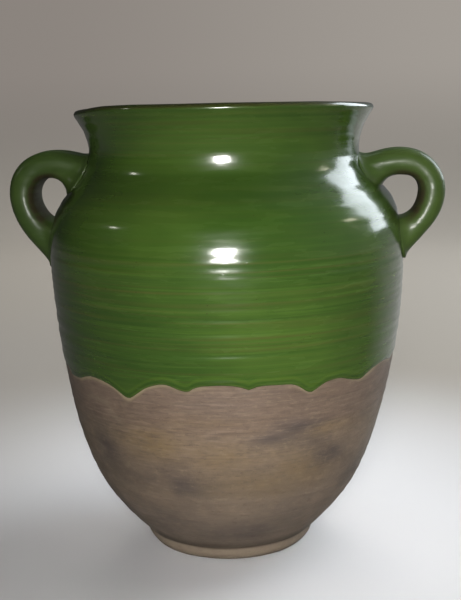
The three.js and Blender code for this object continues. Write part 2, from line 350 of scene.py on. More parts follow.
    # Spiral that the wire and the turning left under the foot.
    spiral = 0.16 * np.sin(r0 / 2.1 + T) * smooth(r0, 4, 9) * (1 - smooth(r0, 30, 35))
    z = z + np.where((kind == 0)[:, None], spiral, 0)
    z = z + np.where(inside_m & (r0 < 60), 0.25 * np.sin(r0 / 4.2 + T) * smooth(r0, 5, 14) * (1 - smooth(r0, 40, 55)), 0)
    rr = r + dr
    ax, ay = axis_at(z)
    X = ax + rr * np.cos(T)
    Y = ay + rr * np.sin(T)
    verts = np.stack([X, Y, z], -1).reshape(-1, 3)
    base = len(verts)
    verts = np.vstack([verts, [[0, 0, prof[0, 1]], [0, 0, prof[-1, 1]]]])
    i = np.arange(R - 1)[:, None] * C
    j = np.arange(C)[None, :]
    k = (j + 1) % C
    quads = np.stack([i + j, i + k, i + C + k, i + C + j], -1).reshape(-1, 4)
    faces = quads.tolist()
    faces += [[base, int((q + 1) % C), int(q)] for q in range(C)]
    top = (R - 1) * C
    faces += [[base + 1, int(top + q), int(top + (q + 1) % C)] for q in range(C)]
    ob = make_object("crock_pot", verts, faces)
    # Which face is bare clay and which is glazed.
    edge_row = len(under) + int(np.argmin(np.abs(wall[:, 1] - EDGE0)))
    row_of_quad = np.repeat(np.arange(R - 1), C)
    mat = np.where(row_of_quad < edge_row, 1, 0)
    mat = np.where(row_of_quad >= len(under) + len(wall) + 3, 2, mat)
    mat = np.concatenate([mat, np.ones(C, int), np.full(C, 2)])
    ob.data.polygons.foreach_set("material_index", mat.astype(np.int32))

    # Surface facts that the materials read.
    ring = (RING_COARSE(z, T) + 0.6 * RING_FINE(z, T)) * 0.8
    # Brown along the lip: the glaze breaks thin there, and the colour is darkened further as painted shade.
    rim = smooth(z0, 296.2, 299.2) * np.where(kind[:, None] == 0, 0, 1)
    thin_glaze_and_shade = np.clip(0.75 * rim, 0, 1)
    pool = np.exp(-((z - 256) / 7.0) ** 2) * outside * 0.7 + np.exp(-((d_edge - 1.8) / 1.6) ** 2) * outside * (z > 100) * 0.35
    pool = pool + inside_m * (1 - smooth(r0, 30, 70)) * (z < 60) * 0.9
    deg = (np.degrees(T - FACE) + 180) % 360 - 180

    def blot(az, zz, sa, sz):
        a = ((deg - az) + 180) % 360 - 180
        wob = 0.35 * Patches(int(abs(az) * 7 + zz * 3) + 5, 22.0, 16, 30)(z, T)
        return np.exp(-((a / sa) ** 2 + ((z - zz) / sz) ** 2) * np.exp(wob))

    smudge = 0.9 * blot(-17.8, 69, 8.5, 10.5) + 0.85 * blot(14.5, 100.5, 7.5, 4.2) + 0.85 * blot(23.5, 107, 9, 4.6)
    smudge += 1.0 * blot(39, 83, 9, 7.5) + 0.45 * blot(31, 96, 8, 5) + 0.42 * blot(26, 38, 20, 12) + 0.5 * blot(2, 26, 32, 9)
    smudge += 0.42 * blot(-30, 40, 18, 12) + 0.78 * blot(-49, 84, 7, 15) + 0.45 * blot(58, 62, 13, 16) + 0.35 * blot(-40, 66, 9, 9)
    smudge += 0.7 * blot(100, 84, 14, 9) + 0.6 * blot(134, 52, 18, 11) + 0.65 * blot(168, 102, 12, 7) + 0.7 * blot(-150, 66, 15, 12) + 0.6 * blot(-112, 98, 13, 6) + 0.55 * blot(-95, 42, 16, 12)
    smudge += 0.8 * blot(118, 108, 8, 5) + 0.8 * blot(152, 84, 9, 8) + 0.7 * blot(-172, 74, 8, 7) + 0.8 * blot(-128, 80, 8, 8)
    ochre = 0.95 * blot(-26, 96, 12, 9) + 0.65 * blot(0, 90, 15, 8) + 0.8 * blot(34, 102, 10, 6) + 0.5 * blot(10, 70, 14, 10) + 0.35 * blot(-8, 112, 16, 5) + 0.7 * blot(29, 76, 9, 9)
    ochre += 0.8 * blot(120, 96, 13, 7) + 0.6 * blot(150, 70, 16, 9) + 0.7 * blot(-130, 104, 12, 8) + 0.6 * blot(-80, 78, 14, 9) + 0.7 * blot(86, 96, 12, 8) + 0.6 * blot(180, 88, 13, 8)
    # A second, faint line of slip under the scallop at the left, and short runs of it elsewhere.
    def line(points, width, strength):
        p = np.array(points, float)
        best = np.full(deg.shape, 1e9)
        for (a0, h0), (a1, h1) in zip(p[:-1], p[1:]):
            k = math.radians(1) * 112.0
            ux, uz = (a1 - a0) * k, h1 - h0
            px, pz = (deg - a0) * k, z - h0
            t = np.clip((px * ux + pz * uz) / (ux * ux + uz * uz), 0, 1)
            best = np.minimum(best, np.hypot(px - t * ux, pz - t * uz))
        return strength * np.exp(-(best / width) ** 2)
    slip = line([(-54.7, 118.6), (-50, 119.8), (-47.2, 119.4), (-43, 116.6), (-41.5, 110.6), (-38.1, 107.4)], 1.3, 0.8)
    slip += line([(-36.3, 118.8), (-34, 122.4), (-32.0, 125.2)], 1.2, 0.55)
    slip += line([(97, 118), (103, 120.5), (109, 119), (113, 114)], 1.3, 0.6)
    slip += line([(-118, 112), (-112, 116), (-105, 117.5), (-99, 113)], 1.3, 0.6)
    foot = (1 - smooth(z, 9.6, 11.6)) * np.where(kind[:, None] <= 1, 1, 0)
    pad2 = lambda a, v0=0.0, v1=0.0: np.concatenate([np.asarray(a, float).reshape(-1), [v0, v1]])
    set_attribute(ob, "ring", pad2(ring))
    set_attribute(ob, "thin_glaze_and_shade", pad2(thin_glaze_and_shade))
    set_attribute(ob, "pool", pad2(np.clip(pool, 0, 1), 0, 0.9))
    set_attribute(ob, "smudge", pad2(np.clip(smudge, 0, 1)))
    set_attribute(ob, "ochre", pad2(np.clip(ochre, 0, 1)))
    set_attribute(ob, "slip", pad2(np.clip(slip, 0, 1)))
    set_attribute(ob, "edge", pad2(np.clip(d_edge, -60, 60), -60, 60))
    set_attribute(ob, "foot", pad2(foot, 1, 0))
    print("body rows", R, "faces", len(faces), "triangles", 2 * len(quads) + 2 * C)
    return ob


def clearance(P):
    """How far a point stands outside the pot's wall, roughly square to it."""
    x, y, z = P[..., 0], P[..., 1], P[..., 2]
    ax, ay = axis_at(z)
    slope = (wall_r(z + 0.5) - wall_r(z - 0.5))
    return (np.hypot(x - ax, y - ay) - wall_r(z) - 0.45) / np.sqrt(1 + slope ** 2)


def ear_outline(thick, count=44):
    """Rounded oblong with domed faces, evenly spaced: across, thick, and the outward direction."""
    x, y = EAR_WIDE / 2 - EAR_CORNER, thick / 2 - EAR_DOME - EAR_CORNER
    pts = []
    for cx, cy, a0 in ((x, y, 0), (-x, y, 90), (-x, -y, 180), (x, -y, 270)):
        for deg in np.linspace(0, 90, 13):
            t = math.radians(a0 + deg)
            pts.append([cx + EAR_CORNER * math.cos(t), cy + EAR_CORNER * math.sin(t)])
        if a0 in (0, 180):
            s = 1 if a0 == 0 else -1
            for u in (0.75, 0.5, 0.25, 0.0, -0.25, -0.5, -0.75):
                pts.append([s * x * u, s * (thick / 2 - EAR_DOME * u * u)])
    p = np.array(pts)
    q = np.vstack([p, p[:1]])
    d = np.concatenate([[0], np.cumsum(np.linalg.norm(np.diff(q, axis=0), axis=1))])
    t = np.arange(count) * d[-1] / count
    o = np.stack([np.interp(t, d, q[:, 0]), np.interp(t, d, q[:, 1])], 1)
    tang = np.roll(o, -1, 0) - np.roll(o, 1, 0)
    nrm = np.stack([tang[:, 1], -tang[:, 0]], 1)
    nrm /= np.linalg.norm(nrm, axis=1)[:, None]
    if (nrm * o).sum() < 0:
        nrm = -nrm
    return o, nrm


def build_ear(name):
    side = -1 if name == "left" else 1
    path = catmull(EAR_PATH[name], 60)
    s = np.concatenate([[0], np.cumsum(np.linalg.norm(np.diff(path, axis=0), axis=1))])
    n_fine = 700
    S = np.linspace(0, s[-1], n_fine)
    c = np.stack([np.interp(S, s, path[:, 0]), np.interp(S, s, path[:, 1])], 1)
    tan = np.gradient(c, axis=0)
    tan /= np.linalg.norm(tan, axis=1)[:, None]
    nor = np.stack([-tan[:, 1], tan[:, 0]], 1)      # away from the finger gap
    if nor[n_fine // 2, 0] < 0:
        nor = -nor
    thick = EAR_THICK[name]
    o, on = ear_outline(thick)
    K = len(o)
    u = S / s[-1]
    rng = np.random.default_rng(41 if name == "left" else 42)
    # The pulled strap swells and thins a little along its length, and leans by a hair.
    grow = 1 + 0.035 * np.sin(2 * math.pi * (u * 1.3 + rng.uniform())) + 0.02 * np.sin(2 * math.pi * (u * 3.1 + rng.uniform()))
    sway = 0.5 * np.sin(2 * math.pi * (u * 0.9 + rng.uniform()))
    # Two soft grooves that the wet hand drew along the outer face.
    across = o[:, 0] / (EAR_WIDE / 2)
    outer_face = smooth(on[:, 1], 0.3, 0.9)
    groove = -0.38 * outer_face * (np.exp(-((across - 0.34) / 0.16) ** 2) + np.exp(-((across + 0.34) / 0.16) ** 2))
    front_ridge = 0.10 * np.exp(-(on[:, 1] / 0.35) ** 2)

    def surface(si, k, off):
        """Point k of the section at a fine station, pushed out by off."""
        oo = o[k] * np.stack([np.ones_like(grow[si]), grow[si]], -1) + on[k] * (off + groove[k] + front_ridge[k])[..., None]
        P = np.empty(si.shape + (3,))
        P[..., 0] = side * (c[si, 0] + oo[..., 1] * nor[si, 0])
        P[..., 2] = c[si, 1] + oo[..., 1] * nor[si, 1]
        P[..., 1] = oo[..., 0] + sway[si]
        return P

    K_idx = np.arange(K)
    allS, allK = np.meshgrid(np.arange(n_fine), K_idx, indexing="ij")
    grid = surface(allS, allK, np.zeros(allS.shape))
    F = clearance(grid)
    out = F > 0
    mid = n_fine // 2
    first = np.array([mid - np.argmin(out[mid::-1, k]) + 1 for k in range(K)])
    last = np.array([mid + np.argmin(out[mid:, k]) - 1 for k in range(K)])
    steps = np.concatenate([[0, 0.004, 0.011, 0.021, 0.034, 0.05, 0.07, 0.095], np.linspace(0.125, 0.875, 56), 1 - np.array([0.095, 0.07, 0.05, 0.034, 0.021, 0.011, 0.004, 0])])
    rows = []
    r_top, r_low, flare = 7.0, 4.0, 20.0 if name == "left" else 15.5
    thin_glaze_and_shade_rows, pool_rows = [], []
    for t in steps:
        f = first + t * (last - first)
        si = np.clip(np.round(f).astype(int), 0, n_fine - 1)
        d = np.clip(F[si, K_idx], 0, None)
        under = smooth(-on[:, 1], -0.1, 0.8)
        rad = (r_top + (flare - r_top) * under) if t < 0.5 else (r_low + 5.0 * under)
        fil = np.where(d < rad, rad - np.sqrt(np.clip(rad * rad - (rad - d) ** 2, 0, None)), 0.0)
        P = surface(si, K_idx, fil)
        if t in (0.0, 1.0):
            ax, ay = axis_at(P[:, 2])
            ang = np.arctan2(P[:, 1] - ay, P[:, 0] - ax)
            rr = wall_r(P[:, 2]) - 0.35
            P[:, 0], P[:, 1] = ax + rr * np.cos(ang), ay + rr * np.sin(ang)
        rows.append(P)
        pool_rows.append(np.exp(-d / 3.5))
        # Brown on the strap's inner faces, which face the pot, is painted shade; the faint band along its corners is
        # thin glaze.
        inner = smooth(-on[:, 1], 0.35, 0.8)
        thin_glaze_and_shade_rows.append(inner * 0.9 * smooth(t, 0.12, 0.3) * (1 - smooth(t, 0.85, 0.97)) + 0.15 * np.exp(-((np.abs(on[:, 1]) - 0.7) / 0.18) ** 2))
    V = np.array(rows)
    # Soften the grid lightly so that rounding to stations leaves no steps.
    for _ in range(5):
        V[2:-2] = 0.5 * V[2:-2] + 0.25 * (V[1:-3] + V[3:-1])
    Rn = len(V)
    verts = V.reshape(-1, 3)
    caps = []
    for row in (V[0], V[-1]):
        m = row.mean(0)
        ax, ay = axis_at(m[2])
        ang = math.atan2(m[1] - ay, m[0] - ax)
        rr = float(wall_r(m[2])) - 1.6
        caps.append([ax + rr * math.cos(ang), ay + rr * math.sin(ang), m[2]])
    verts = np.vstack([verts, caps])
    faces = []
    for a in range(Rn - 1):
        for b in range(K):
            b2 = (b + 1) % K
            faces.append([a * K + b, a * K + b2, (a + 1) * K + b2, (a + 1) * K + b])
    faces += [[Rn * K, (b + 1) % K, b] for b in range(K)]
    faces += [[Rn * K + 1, (Rn - 1) * K + b, (Rn - 1) * K + (b + 1) % K] for b in range(K)]
    ob = make_object("ear_" + name, verts, faces)
    bm = bmesh.new()
    bm.from_mesh(ob.data)
    bmesh.ops.recalc_face_normals(bm, faces=bm.faces)
    bm.to_mesh(ob.data)
    bm.free()
    set_attribute(ob, "ring", np.zeros(len(verts)))
    set_attribute(ob, "thin_glaze_and_shade", np.concatenate([np.clip(np.array(thin_glaze_and_shade_rows).reshape(-1), 0, 1), [0, 0]]))
    set_attribute(ob, "pool", np.concatenate([np.array(pool_rows).reshape(-1) * 0.7, [0, 0]]))
    set_attribute(ob, "edge", np.full(len(verts), 60.0))
    sub = ob.modifiers.new("sub", "SUBSURF")
    sub.levels = sub.render_levels = 1
    bake_modifiers(ob)
    return ob


def bake_modifiers(ob):
    """Replace an object's mesh by what its modifiers make of it."""
    bpy.context.view_layer.update()
    dg = bpy.context.evaluated_depsgraph_get()
    new = bpy.data.meshes.new_from_object(ob.evaluated_get(dg), preserve_all_data_layers=True, depsgraph=dg)
    ob.modifiers.clear()
    old = ob.data
    ob.data = new
    new.name = ob.name
    bpy.data.meshes.remove(old)
    new.polygons.foreach_set("use_smooth", np.ones(len(new.polygons), bool))
    new.update()


# ------------------------------------------------------------------ half-moon stones
STONE_R, STONE_THICK, STONE_SPLIT, STONE_GRIP = 78.0, 15.0, 3.0, 14.0


def build_stone(name, node, side):
    lo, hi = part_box(node)
    z_low = lo.z * 1000
    y0 = STONE_SPLIT / 2
    soft = 8.0
    r = STONE_R - 0.15
    reach = math.sqrt(r * r - y0 * y0)
    a0 = math.asin((y0 + soft) / r)
    pts = []
    for t in np.linspace(0, 1, 12, endpoint=False):      # worn corner on the right
        p0, p1, p2 = np.array([reach - soft, y0]), np.array([reach - 0.4, y0]), np.array([r * math.cos(a0), r * math.sin(a0)])
        pts.append((1 - t) ** 2 * p0 + 2 * t * (1 - t) * p1 + t * t * p2)
    for a in np.linspace(a0, math.pi - a0, 110, endpoint=False):
        pts.append(np.array([r * math.cos(a), r * math.sin(a)]))
    for t in np.linspace(0, 1, 12, endpoint=False):
        p0, p1, p2 = np.array([-r * math.cos(a0), r * math.sin(a0)]), np.array([-(reach - 0.4), y0]), np.array([-(reach - soft), y0])
        pts.append((1 - t) ** 2 * p0 + 2 * t * (1 - t) * p1 + t * t * p2)
    for x in np.linspace(-(reach - soft), -STONE_GRIP - 3, 18, endpoint=False):
        pts.append(np.array([x, y0]))
    # The finger notch has softened shoulders.
    for t in np.linspace(0, 1, 5, endpoint=False):
        pts.append(np.array([-STONE_GRIP - 3 + 3 * t, y0 + 3 * t * t * 0.55]))
    for a in np.linspace(math.pi - 0.13, 0.13, 26):
        pts.append(np.array([STONE_GRIP * math.cos(a), y0 + STONE_GRIP * math.sin(a)]))
    for t in np.linspace(0, 1, 5)[1:]:
        pts.append(np.array([STONE_GRIP + 3 * t, y0 + 3 * (1 - t) ** 2 * 0.55]))
    for x in np.linspace(STONE_GRIP + 3, reach - soft, 18, endpoint=False)[1:]:
        pts.append(np.array([x, y0]))
    pts = np.array(pts)
    if side < 0:
        pts = -pts
    bm = bmesh.new()
    vs = [bm.verts.new((x * MM, y * MM, z_low * MM)) for x, y in pts]
    f = bm.faces.new(vs)
    ext = bmesh.ops.extrude_face_region(bm, geom=[f])
    for v in [g for g in ext["geom"] if isinstance(g, bmesh.types.BMVert)]:
        v.co.z += STONE_THICK * MM
    bmesh.ops.recalc_face_normals(bm, faces=bm.faces)
    mesh = bpy.data.meshes.new(name)
    bm.to_mesh(mesh)
    bm.free()
    ob = bpy.data.objects.new(name, mesh)
    bpy.context.scene.collection.objects.link(ob)
    bev = ob.modifiers.new("bevel", "BEVEL")
    bev.width, bev.segments, bev.limit_method, bev.angle_limit = 2.4 * MM, 4, "ANGLE", math.radians(50)
    rem = ob.modifiers.new("remesh", "REMESH")
    rem.mode, rem.voxel_size = "VOXEL", 1.15 * MM
    sm = ob.modifiers.new("smooth", "SMOOTH")
    sm.factor, sm.iterations = 0.5, 3
    bake_modifiers(ob)
    me = ob.data
    n = len(me.vertices)
    co = np.empty(n * 3, np.float32); me.vertices.foreach_get("co", co); co = co.reshape(-1, 3).astype(float)
    no = np.empty(n * 3, np.float32); me.vertices.foreach_get("normal", no); no = no.reshape(-1, 3).astype(float)
    rng = np.random.default_rng(71 if side < 0 else 72)
    P = co * 1000
    d = np.zeros(n)
    for wl, amp, cnt in ((45.0, 0.12, 10), (14.0, 0.055, 14), (5.0, 0.035, 18)):
        acc = np.zeros(n)
        for _ in range(cnt):
            k = rng.standard_normal(3); k *= 2 * math.pi / wl / np.linalg.norm(k)
            acc += np.cos(P @ k + rng.uniform(0, 6.28))
        d += amp * acc / math.sqrt(cnt / 2)
    # Pits where grit dragged or burned out.
    centres = P[rng.integers(0, n, 70)]
    for cpt in centres:
        q = np.linalg.norm(P - cpt, axis=1)
        d -= rng.uniform(0.25, 0.55) * np.exp(-(q / rng.uniform(0.9, 1.7)) ** 2)
    d = np.minimum(d, 0.14) - 0.1
    co += no * d[:, None] * MM
    me.vertices.foreach_set("co", co.astype(np.float32).ravel())
    me.update()
    # How far each point is inside the rim of the stone, for the worn edge's colour.
    rad = np.hypot(P[:, 0], P[:, 1])
    worn = np.exp(-np.minimum(np.abs(P[:, 2] - z_low), np.abs(P[:, 2] - z_low - STONE_THICK)) / 1.3) * np.exp(-np.minimum(np.abs(rad - STONE_R), np.abs(np.abs(P[:, 1]) - y0)) / 2.5)
    set_attribute(ob, "worn", np.clip(worn * 1.6, 0, 1))
    return ob


# ------------------------------------------------------------------ materials
def lin(rgb):
    """sRGB 0-255 to linear, with alpha."""
    out = []
    for c in rgb:
        c /= 255.0
        out.append(c / 12.92 if c <= 0.04045 else ((c + 0.055) / 1.055) ** 2.4)
    return (*out, 1.0)


class Graph:
    """Short names for building a shader node tree."""

    def __init__(self, name):
        self.mat = bpy.data.materials.new(name)
        self.mat.use_nodes = True
        self.nt = self.mat.node_tree
        self.nt.nodes.clear()
        self.out = self.nt.nodes.new("ShaderNodeOutputMaterial")
        self.shader = self.nt.nodes.new("ShaderNodeBsdfPrincipled")
        self.link(self.shader.outputs["BSDF"], self.out.inputs["Surface"])
        self.pos = self.nt.nodes.new("ShaderNodeTexCoord").outputs["Object"]

    def link(self, a, b):
        self.nt.links.new(a, b)

    def put(self, sock, value):
        if isinstance(value, bpy.types.NodeSocket):
            self.link(value, sock)
        else:
            sock.default_value = value

    def attr(self, name):
        n = self.nt.nodes.new("ShaderNodeAttribute")
        n.attribute_name = name
        return n.outputs["Fac"]

    def math(self, op, a, b=0.0, c=0.0, clamp=False):
        n = self.nt.nodes.new("ShaderNodeMath")
        n.operation, n.use_clamp = op, clamp
        for i, v in enumerate((a, b, c)):
            self.put(n.inputs[i], v)
        return n.outputs[0]

    def scaled(self, sx, sy, sz, offset=(0.0, 0.0, 0.0)):
        n = self.nt.nodes.new("ShaderNodeMapping")
        n.inputs["Scale"].default_value = (sx, sy, sz)
        n.inputs["Location"].default_value = offset
        self.link(self.pos, n.inputs["Vector"])
        return n.outputs[0]

    def noise(self, vec, scale=1.0, detail=3.0, rough=0.55, warp=0.0):
        n = self.nt.nodes.new("ShaderNodeTexNoise")
        self.link(vec, n.inputs["Vector"])
        n.inputs["Scale"].default_value = scale
        n.inputs["Detail"].default_value = detail
        n.inputs["Roughness"].default_value = rough
        n.inputs["Distortion"].default_value = warp
        return n.outputs["Fac"]

    def cells(self, vec, scale, feature="F1", jitter=1.0):
        n = self.nt.nodes.new("ShaderNodeTexVoronoi")
        n.feature = feature
        self.link(vec, n.inputs["Vector"])
        n.inputs["Scale"].default_value = scale
        n.inputs["Randomness"].default_value = jitter
        return n.outputs["Distance"], n.outputs["Color"]

    def span(self, v, a, b, lo=0.0, hi=1.0, kind="SMOOTHSTEP"):
        n = self.nt.nodes.new("ShaderNodeMapRange")
        n.interpolation_type = kind
        self.put(n.inputs["Value"], v)
        for k, x in (("From Min", a), ("From Max", b), ("To Min", lo), ("To Max", hi)):
            n.inputs[k].default_value = x
        return n.outputs["Result"]

    def mix(self, fac, a, b, kind="MIX"):
        n = self.nt.nodes.new("ShaderNodeMix")
        n.data_type, n.blend_type = "RGBA", kind
        self.put(n.inputs[0], fac)
        self.put(n.inputs[6], a)
        self.put(n.inputs[7], b)
        return n.outputs[2]

    def bump(self, height, strength, distance, after=None):
        n = self.nt.nodes.new("ShaderNodeBump")
        n.inputs["Strength"].default_value = strength
        n.inputs["Distance"].default_value = distance
        self.put(n.inputs["Height"], height)
        if after is not None:
            self.link(after, n.inputs["Normal"])
        return n.outputs["Normal"]

    def set(self, **values):
        for k, v in values.items():
            self.put(self.shader.inputs[k.replace("_", " ")], v)


GREEN = (58, 82, 29)
GREEN_DEEP = (43, 68, 22)
GREEN_BRIGHT = (69, 94, 34)
OLIVE = (74, 75, 35)
# Brown where the glaze is thin, darkened as painted shade on the lip and on the ears' inner faces.
BREAK_AND_SHADE = (46, 37, 25)
LIME = (91, 102, 54)


def glaze(name, edge=True, coat=1.0, coat_rough=0.15, base_rough=(0.20, 0.30), dull=0.0, lumps=0.30):
    g = Graph(name)
    wide = g.noise(g.scaled(9, 9, 14, (1.7, 0.3, 2.2)), 1.0, 3.0, 0.5, 0.4)
    streak = g.noise(g.scaled(5, 5, 330, (0.4, 2.1, 0.0)), 1.0, 2.0, 0.5)
    line = g.noise(g.scaled(7, 7, 900, (3.4, 1.1, 0.0)), 1.0, 1.5, 0.5)
    mottle = g.noise(g.scaled(0.7, 0.7, 5.0, (0.3, 0.2, 0.1)), 48.0, 3.0, 0.45)
    z = g.nt.nodes.new("ShaderNodeSeparateXYZ")
    g.link(g.pos, z.inputs[0])
    z = z.outputs["Z"]
    ring = g.attr("ring")
    col = g.mix(g.span(wide, 0.33, 0.68), lin(GREEN_DEEP), lin(GREEN))
    col = g.mix(g.math("MULTIPLY", g.span(mottle, 0.34, 0.72), 0.20), col, lin(GREEN_BRIGHT))
    if edge:
        belt = g.math("MULTIPLY", g.span(z, 0.126, 0.142), g.span(z, 0.196, 0.232, 1.0, 0.0))
        neck = g.math("MULTIPLY", g.span(z, 0.252, 0.266), 0.7)
        belt = g.math("MAXIMUM", belt, neck)
        belt = g.math("MAXIMUM", belt, 0.34)
        # Glaze runs thin over each ridge and gathers in the grooves between them.
        high = g.math("ADD", ring, g.span(streak, 0.3, 0.7, -0.9, 0.9))
        ridge = g.math("MULTIPLY", g.span(high, 0.45, 1.9), belt)
        groove = g.math("MULTIPLY", g.span(high, -0.5, -1.9), belt)
        col = g.mix(g.math("MULTIPLY", ridge, 0.42), col, lin(OLIVE))
        col = g.mix(g.math("MULTIPLY", groove, 0.55), col, lin(GREEN_DEEP))
        thread = g.math("MULTIPLY", g.span(line, 0.54, 0.70), g.math("MULTIPLY", belt, 0.30))
        col = g.mix(thread, col, lin((74, 67, 36)))
        bright = g.math("MULTIPLY", g.span(line, 0.46, 0.30), g.math("MULTIPLY", belt, 0.40))
        col = g.mix(bright, col, lin(GREEN_BRIGHT))
        weave = g.noise(g.scaled(3.5, 3.5, 420, (1.9, 0.6, 0.0)), 1.0, 2.0, 0.5)
        col = g.mix(g.math("MULTIPLY", g.span(weave, 0.52, 0.70), g.math("MULTIPLY", belt, 0.26)), col, lin((40, 63, 22)))
        col = g.mix(g.math("MULTIPLY", g.span(weave, 0.47, 0.30), g.math("MULTIPLY", belt, 0.20)), col, lin((78, 100, 40)))
        # At its lower edge the glaze has crept up and left pale and dark lines behind.
        d = g.attr("edge")
        creep = g.noise(g.scaled(60, 60, 60, (0.1, 0.7, 0.2)), 1.0, 2.0, 0.5)
        dd = g.math("ADD", d, g.span(creep, 0.3, 0.7, -0.5, 0.5, "LINEAR"))
        rim_line = g.math("MULTIPLY", g.span(dd, 0.2, 0.7), g.span(dd, 0.9, 1.9, 1.0, 0.0))
        col = g.mix(g.math("MULTIPLY", rim_line, g.span(creep, 0.4, 0.7, 0.15, 0.6)), col, lin(LIME))
        echo = g.math("MULTIPLY", g.span(dd, 3.0, 4.0), g.span(dd, 4.4, 6.2, 1.0, 0.0))
        col = g.mix(g.math("MULTIPLY", echo, 0.35), col, lin((73, 95, 31)))
        dark = g.math("MULTIPLY", g.span(dd, 1.4, 2.1), g.span(dd, 2.4, 3.4, 1.0, 0.0))
        col = g.mix(g.math("MULTIPLY", dark, 0.4), col, lin(GREEN_DEEP))
    pool = g.attr("pool")
    col = g.mix(g.math("MULTIPLY", pool, 0.5), col, lin((27, 47, 11)))
    # Brown of thin glaze, with painted shade on the lip and on the ears' inner faces.
    thin_glaze_and_shade = g.math("MULTIPLY", g.attr("thin_glaze_and_shade"), g.span(mottle, 0.25, 0.6, 0.55, 1.0))
    col = g.mix(thin_glaze_and_shade, col, lin(BREAK_AND_SHADE))
    # A few specks of iron that bled through.
    dist, _ = g.cells(g.scaled(1, 1, 1), 260.0)
    speck = g.math("MULTIPLY", g.span(dist, 0.13, 0.05), g.span(g.noise(g.scaled(1, 1, 1), 90.0, 2.0), 0.52, 0.66))
    col = g.mix(g.math("MULTIPLY", speck, 0.65), col, lin((40, 29, 16)))
    if dull:
        col = g.mix(dull, col, lin((74, 80, 52)))
    wavy = g.noise(g.scaled(1, 1, 1.8), 46.0, 2.0, 0.45, 0.3)
    fine = g.noise(g.scaled(1, 1, 1), 420.0, 3.0, 0.5)
    n1 = g.bump(wavy, lumps, 0.0011)
    n2 = g.bump(streak, 0.12, 0.0005, n1)
    n2 = g.bump(fine, 0.06, 0.0002, n2)
    pin, _ = g.cells(g.scaled(1, 1, 1, (2.1, 0.4, 0.9)), 120.0)
    pits = g.span(pin, 0.0, 0.075, 0.0, 1.0)
    n3 = g.bump(pits, 0.35, 0.0003, n2)
    rough = g.span(mottle, 0.3, 0.7, *base_rough)
    # The coat is green glass with some depth, so it darkens towards the outline; the colour below is lifted to match.
    through = 0.52
    lift = 1.0 / (1.0 - coat * (1.0 - through))
    col = g.mix(1.0, col, (lift, lift, lift, 1.0), "MULTIPLY")
    g.set(Base_Color=col, Roughness=rough, Normal=n2, Coat_Normal=n3)
    g.set(Coat_Tint=(through, through, through, 1.0))
    g.set(IOR=1.5, Coat_Weight=coat, Coat_Roughness=coat_rough, Coat_IOR=1.5, Specular_IOR_Level=0.26)
    return g.mat


